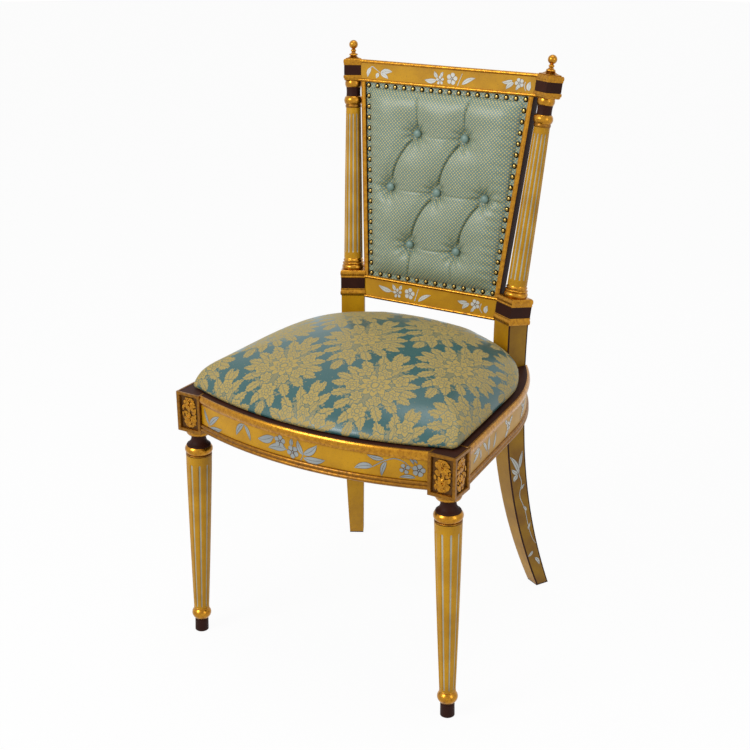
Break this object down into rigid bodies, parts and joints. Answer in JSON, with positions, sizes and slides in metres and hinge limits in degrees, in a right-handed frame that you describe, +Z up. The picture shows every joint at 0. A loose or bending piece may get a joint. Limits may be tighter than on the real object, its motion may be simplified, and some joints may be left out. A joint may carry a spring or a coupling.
{
  "type": "side chair",
  "caption": "Painted and gilded side chair with fluted front legs, sabre back legs, column back posts, a buttoned upholstered back and a damask seat.",
  "frame": {"origin": "on the floor, under the centre of the chair's bounding box", "axes": "+Z up, -Y towards the front of the seat, +X towards the chair's right side seen from the front"},
  "size_m": [0.5152, 0.5172, 0.9617],
  "materials": {
    "painted_wood": "ochre paint, satin, with painted sprays",
    "gilt_wood": "gilded, burnished",
    "bare_wood": "plain sawn wood",
    "seat_fabric": "woven damask, satin motif",
    "back_fabric": "plain woven cloth",
    "lining": "thin woven lining",
    "stuffing": "soft stuffing",
    "nail_brass": "polished",
    "screw_steel": "plain"
  },
  "bodies": {
    "root": {"back_board": "bare_wood", "back_buttons": "back_fabric", "back_cover": "back_fabric", "back_foam": "stuffing", "back_nails": "nail_brass", "back_rail_bottom": "painted_wood", "back_rail_top": "painted_wood", "back_stile_left": "painted_wood", "back_stile_right": "painted_wood", "back_strip_crest": "gilt_wood", "back_strip_foot": "gilt_wood", "back_strip_lower": "gilt_wood", "back_strip_upper": "gilt_wood", "bead_low_front": "gilt_wood", "bead_low_left": "gilt_wood", "bead_low_right": "gilt_wood", "bead_top_front": "gilt_wood", "bead_top_left": "gilt_wood", "bead_top_right": "gilt_wood", "brace_screws": "screw_steel", "carving_front_left": "gilt_wood", "carving_front_right": "gilt_wood", "carving_side_left": "gilt_wood", "carving_side_right": "gilt_wood", "corner_brace_front_left": "bare_wood", "corner_brace_front_right": "bare_wood", "corner_brace_rear_left": "bare_wood", "corner_brace_rear_right": "bare_wood", "deck_screws": "screw_steel", "dust_cover": "lining", "finial_left": "gilt_wood", "finial_right": "gilt_wood", "leg_front_left": "painted_wood", "leg_front_right": "painted_wood", "outside_back": "back_fabric", "post_back_left": "painted_wood", "post_back_right": "painted_wood", "seat_board": "bare_wood", "seat_cover": "seat_fabric", "seat_foam": "stuffing", "seat_rail_back": "painted_wood", "seat_rail_front": "painted_wood", "seat_rail_left": "painted_wood", "seat_rail_right": "painted_wood"}
  },
  "joints": []
}
